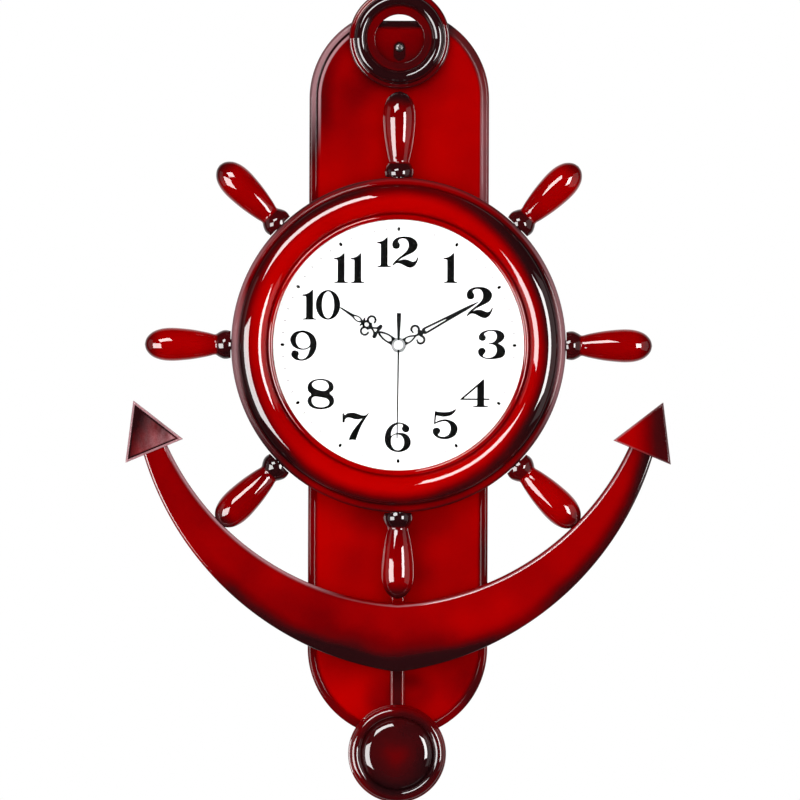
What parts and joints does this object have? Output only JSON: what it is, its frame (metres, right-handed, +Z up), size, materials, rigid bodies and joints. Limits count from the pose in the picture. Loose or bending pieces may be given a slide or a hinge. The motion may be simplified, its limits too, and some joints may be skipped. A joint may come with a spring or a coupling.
{
  "type": "ship wheel wall clock",
  "caption": "Wall clock in glossy red: a ship's wheel round a white dial, an anchor below it, a ring on top and a swinging pendulum with a round bob.",
  "frame": {"origin": "the seat of the keyhole the clock hangs by, brought straight back to the wall plane", "axes": "+Z up, +X to the right as seen from the front, the dial faces -Y and the wall is the plane Y = 0"},
  "size_m": [0.4002, 0.0565, 0.5982],
  "materials": {
    "red_lacquer": "glossy red lacquer over moulded plastic",
    "dark_lacquer": "glossy red lacquer shaded almost black",
    "black_plastic": "satin black moulded plastic",
    "white_plastic": "natural acetal",
    "white_dial": "white paint on aluminium sheet with printed figures",
    "clear_glass": "clear flat glass",
    "black_hand": "black paint on aluminium sheet",
    "brass": "turned",
    "steel": "zinc plated",
    "copper_winding": "enamelled copper wire on a bobbin",
    "circuit_green": "solder mask",
    "rubber": "black",
    "battery_sleeve": "plain wrapped cell"
  },
  "bodies": {
    "case": {"back_board": "red_lacquer", "hanger_plate": "steel", "hanger_screw": "steel", "top_ring": "dark_lacquer", "ring_screw_1": "steel", "ring_screw_2": "steel", "anchor_arms": "red_lacquer", "left_fluke": "red_lacquer", "right_fluke": "red_lacquer", "anchor_screw_1": "steel", "anchor_screw_2": "steel", "wheel_bezel": "red_lacquer", "case_back": "black_plastic", "case_screw_1": "steel", "case_screw_2": "steel", "case_screw_3": "steel", "case_screw_4": "steel", "board_screw_1": "steel", "board_screw_2": "steel", "glass_lens": "clear_glass", "dial_spacer": "white_plastic", "dial": "white_dial", "movement_base": "black_plastic", "movement_cover": "white_plastic", "mounting_nut": "brass", "gasket": "rubber", "stator_plate": "steel", "motor_coil": "copper_winding", "circuit_board": "circuit_green", "battery_spring": "steel", "battery_contact": "steel", "drive_coil": "copper_winding", "pivot_pin": "steel", "handle_1": "red_lacquer", "handle_2": "red_lacquer", "handle_3": "red_lacquer", "handle_4": "red_lacquer", "handle_5": "red_lacquer", "handle_6": "red_lacquer", "handle_7": "red_lacquer", "handle_8": "red_lacquer"},
    "seconds_train": {"second_arbor": "white_plastic", "second_hand": "black_hand"},
    "third": {"third_wheel": "white_plastic"},
    "intermediate": {"intermediate_wheel": "white_plastic"},
    "motor_rotor": {"rotor": "steel"},
    "centre": {"centre_wheel": "white_plastic"},
    "minute_drive": {"cannon_pinion": "brass", "minute_hand": "black_hand"},
    "motion": {"motion_wheel": "white_plastic", "set_knob": "white_plastic"},
    "hour_drive": {"hour_wheel": "white_plastic", "hour_hand": "black_hand"},
    "pendulum": {"pendulum_hanger": "white_plastic", "hanger_magnet": "steel", "pendulum_rod": "dark_lacquer", "bob_front": "dark_lacquer", "bob_back": "dark_lacquer"},
    "cell": {"battery": "battery_sleeve"}
  },
  "joints": [
    {"name": "second_turn", "type": "hinge", "parent": "case", "child": "seconds_train", "pos_m": [0, -0.03, -0.203], "axis": [0, 1, 0], "continuous": true},
    {"name": "third_turn", "type": "hinge", "parent": "case", "child": "third", "pos_m": [0.0115, -0.03, -0.19881], "axis": [0, 1, 0], "continuous": true},
    {"name": "intermediate_turn", "type": "hinge", "parent": "case", "child": "intermediate", "pos_m": [-0.0115, -0.03, -0.20719], "axis": [0, 1, 0], "continuous": true},
    {"name": "rotor_turn", "type": "hinge", "parent": "case", "child": "motor_rotor", "pos_m": [-0.02037, -0.03, -0.20562], "axis": [0, 1, 0], "continuous": true},
    {"name": "centre_turn", "type": "hinge", "parent": "case", "child": "centre", "pos_m": [0, -0.03, -0.203], "axis": [0, 1, 0], "continuous": true},
    {"name": "minute_turn", "type": "hinge", "parent": "case", "child": "minute_drive", "pos_m": [0, -0.03, -0.203], "axis": [0, 1, 0], "continuous": true},
    {"name": "motion_turn", "type": "hinge", "parent": "case", "child": "motion", "pos_m": [-0.00746, -0.03, -0.19235], "axis": [0, 1, 0], "continuous": true},
    {"name": "hour_turn", "type": "hinge", "parent": "case", "child": "hour_drive", "pos_m": [0, -0.03, -0.203], "axis": [0, 1, 0], "continuous": true},
    {"name": "pendulum_swing", "type": "hinge", "parent": "case", "child": "pendulum", "pos_m": [0, -0.021, -0.243], "axis": [0, 1, 0], "range_deg": [-4, 4]},
    {"name": "cell_pull", "type": "slide", "parent": "case", "child": "cell", "axis": [0, 1, 0], "range_m": [0, 0.035]}
  ],
  "couplings": [
    {"joint": "third_turn", "follows": "second_turn", "ratio": -0.13333},
    {"joint": "intermediate_turn", "follows": "second_turn", "ratio": -7.5},
    {"joint": "rotor_turn", "follows": "second_turn", "ratio": 30},
    {"joint": "centre_turn", "follows": "second_turn", "ratio": 0.016667},
    {"joint": "motion_turn", "follows": "minute_turn", "ratio": -0.33333},
    {"joint": "hour_turn", "follows": "minute_turn", "ratio": 0.083333}
  ]
}
